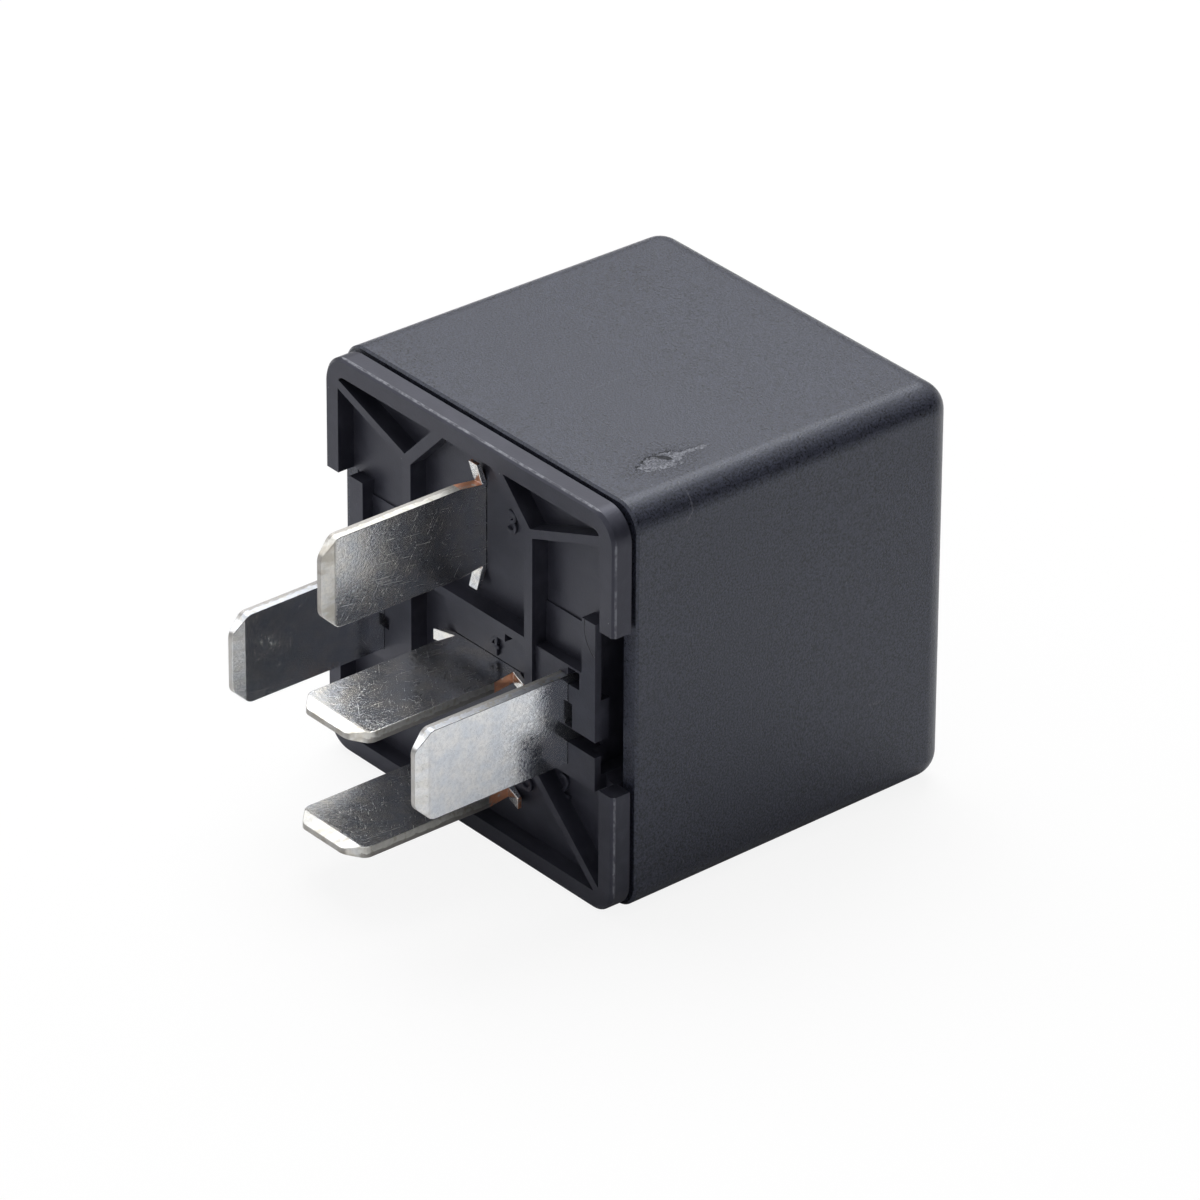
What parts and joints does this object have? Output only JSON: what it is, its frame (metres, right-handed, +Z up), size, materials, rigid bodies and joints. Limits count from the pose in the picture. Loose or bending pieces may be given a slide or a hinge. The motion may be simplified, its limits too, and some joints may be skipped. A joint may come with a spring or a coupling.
{
  "type": "automotive relay",
  "caption": "Changeover relay with flat push-on blades: a ribbed base, a deep square cap that locks over it, and inside a coil, a hinged armature, a contact spring and contacts.",
  "frame": {"origin": "on the ground under the middle of the relay's box as it lies on one side, blades included", "axes": "+Z up, -Y the way the blades point, +Y towards the cap's closed end, +X towards terminal 85; terminal 30 is the uppermost blade"},
  "size_m": [0.0286, 0.0392, 0.0287],
  "materials": {
    "cap_plastic": "matte dark grey moulded plastic, fine grain",
    "base_plastic": "near-black moulded plastic, semi-gloss",
    "tinned_blade": "tin-plated copper alloy, mottled grey",
    "plated_iron": "zinc-plated soft iron",
    "bobbin_plastic": "natural glass-filled nylon",
    "enamelled_wire": "enamelled copper wire",
    "spring_bronze": "bare phosphor bronze strip",
    "silver_contact": "silver alloy",
    "rivet_steel": "zinc-plated steel",
    "solder": "bright solder"
  },
  "bodies": {
    "housing": {"cap": "cap_plastic", "base": "base_plastic", "terminal_30": "tinned_blade", "terminal_85": "tinned_blade", "terminal_86": "tinned_blade", "terminal_87": "tinned_blade", "terminal_87a": "tinned_blade", "yoke": "plated_iron", "core": "plated_iron", "bobbin": "bobbin_plastic", "coil_winding": "enamelled_wire", "coil_lead_start": "enamelled_wire", "coil_lead_end": "enamelled_wire", "solder_joints": "solder", "normally_open_contact": "silver_contact", "normally_closed_contact": "silver_contact", "spring_yoke_rivets": "rivet_steel"},
    "armature": {"armature": "plated_iron", "contact_spring": "spring_bronze", "moving_contact": "silver_contact", "spring_armature_rivets": "rivet_steel"}
  },
  "joints": [
    {"name": "armature_hinge", "type": "hinge", "parent": "housing", "child": "armature", "pos_m": [0, 0.01217, 0.02385], "axis": [-1, 0, 0], "range_deg": [0, 3], "stiffness_Nm_per_rad": 0.15, "springref_deg": -5.73, "deforming": ["contact_spring"]}
  ]
}
